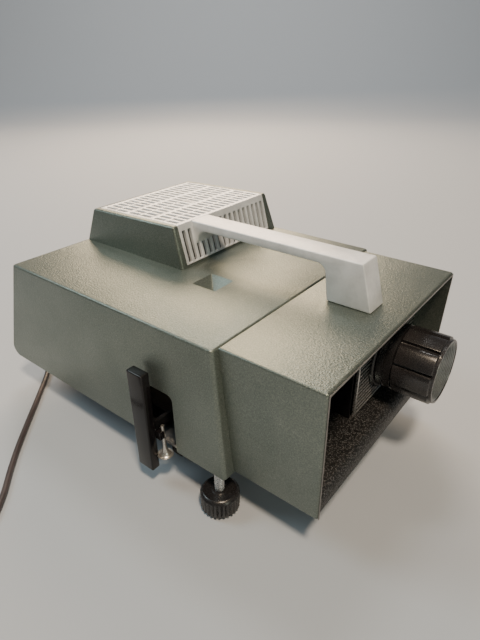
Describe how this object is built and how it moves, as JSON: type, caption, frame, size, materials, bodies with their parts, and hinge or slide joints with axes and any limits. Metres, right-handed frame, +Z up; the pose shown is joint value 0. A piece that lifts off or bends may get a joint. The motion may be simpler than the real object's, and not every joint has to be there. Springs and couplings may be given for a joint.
{
  "type": "slide projector",
  "caption": "Slide projector with a straight tray channel, push-pull changer, focusing lens, cast vent grille with handle, screw feet and mains lead",
  "frame": {"origin": "middle of the footprint on the table, without the mains lead", "axes": "+Z up. The lens points along -Y. +X is on the left of someone who looks at the front, and the slide changer is on -X"},
  "size_m": [0.4817, 0.4249, 0.166],
  "materials": {
    "enamel": "pebbled metallic enamel, satin",
    "cast_aluminium": "satin bare casting",
    "black_sheet": "matt black",
    "black_plastic": "satin to gloss black",
    "rubber": "matt",
    "steel": "bright plated",
    "zinc_sheet": "plain plated sheet",
    "glass": "clear polished",
    "copper": "enamelled copper wire",
    "ceramic": "unglazed ceramic",
    "cord_sheath": "matt sheath"
  },
  "bodies": {
    "casing": {"rear_housing": "enamel", "front_housing": "enamel", "base_plate": "zinc_sheet", "front_pan": "black_sheet", "magazine_channel": "black_sheet", "front_plate": "black_sheet", "lens_mount": "black_sheet", "slide_gate": "zinc_sheet", "condenser_holder": "zinc_sheet", "condenser_front": "glass", "condenser_rear": "glass", "heat_frame": "zinc_sheet", "heat_glass": "glass", "lamp_bulb": "glass", "lamp_cap": "steel", "lamp_socket": "ceramic", "reflector": "steel", "lamp_house": "zinc_sheet", "fan_motor": "zinc_sheet", "motor_bracket": "zinc_sheet", "transformer_core": "zinc_sheet", "transformer_winding": "copper", "vent_grille": "cast_aluminium", "changer_rail": "zinc_sheet", "foot_bush_left": "zinc_sheet", "foot_bush_right": "zinc_sheet", "rear_foot_left": "rubber", "rear_foot_right": "rubber", "switch_frame": "black_plastic", "cord_gland": "rubber", "cord_lead": "cord_sheath", "cord_coil": "cord_sheath", "cord_tail": "cord_sheath", "mains_plug": "black_plastic"},
    "barrel": {"lens_barrel": "black_sheet", "lens_glass_front": "glass", "lens_glass_rear": "glass"},
    "ring": {"focus_ring": "black_plastic"},
    "changer": {"changer_handle": "black_plastic", "changer_carriage": "black_sheet"},
    "fan": {"fan_rotor": "black_plastic"},
    "rocker": {"switch_rocker": "black_plastic"},
    "pad_left": {"foot_pad_left": "rubber"},
    "pad_right": {"foot_pad_right": "rubber"},
    "knob_left": {"foot_knob_left": "black_plastic"},
    "knob_right": {"foot_knob_right": "black_plastic"}
  },
  "joints": [
    {"name": "focus_slide", "type": "slide", "parent": "casing", "child": "barrel", "axis": [0, -1, 0], "range_m": [0, 0.009]},
    {"name": "focus_turn", "type": "hinge", "parent": "barrel", "child": "ring", "pos_m": [0.03862, -0.1539, 0.0835], "axis": [0, -1, 0], "range_deg": [0, 272]},
    {"name": "changer_slide", "type": "slide", "parent": "casing", "child": "changer", "axis": [-1, 0, 0], "range_m": [0, 0.087]},
    {"name": "fan_spin", "type": "hinge", "parent": "casing", "child": "fan", "pos_m": [0.03862, 0.0956, 0.0835], "axis": [0, 1, 0], "continuous": true},
    {"name": "switch_rock", "type": "hinge", "parent": "casing", "child": "rocker", "pos_m": [-0.02817, 0.14314, 0.08573], "axis": [-1, 0, 0], "range_deg": [0, 14]},
    {"name": "foot_lift_left", "type": "slide", "parent": "casing", "child": "pad_left", "axis": [0, 0, 1], "range_m": [0, 0.0105]},
    {"name": "foot_turn_left", "type": "hinge", "parent": "pad_left", "child": "knob_left", "pos_m": [-0.09267, -0.0857, 0.0019], "axis": [0, 0, 1], "range_deg": [0, 2880.1]},
    {"name": "foot_lift_right", "type": "slide", "parent": "casing", "child": "pad_right", "axis": [0, 0, 1], "range_m": [0, 0.0105]},
    {"name": "foot_turn_right", "type": "hinge", "parent": "pad_right", "child": "knob_right", "pos_m": [0.09632, -0.0857, 0.0019], "axis": [0, 0, 1], "range_deg": [0, 2880.1]}
  ],
  "couplings": [
    {"joint": "focus_turn", "follows": "focus_slide", "rad_per_m": 523.6}
  ]
}
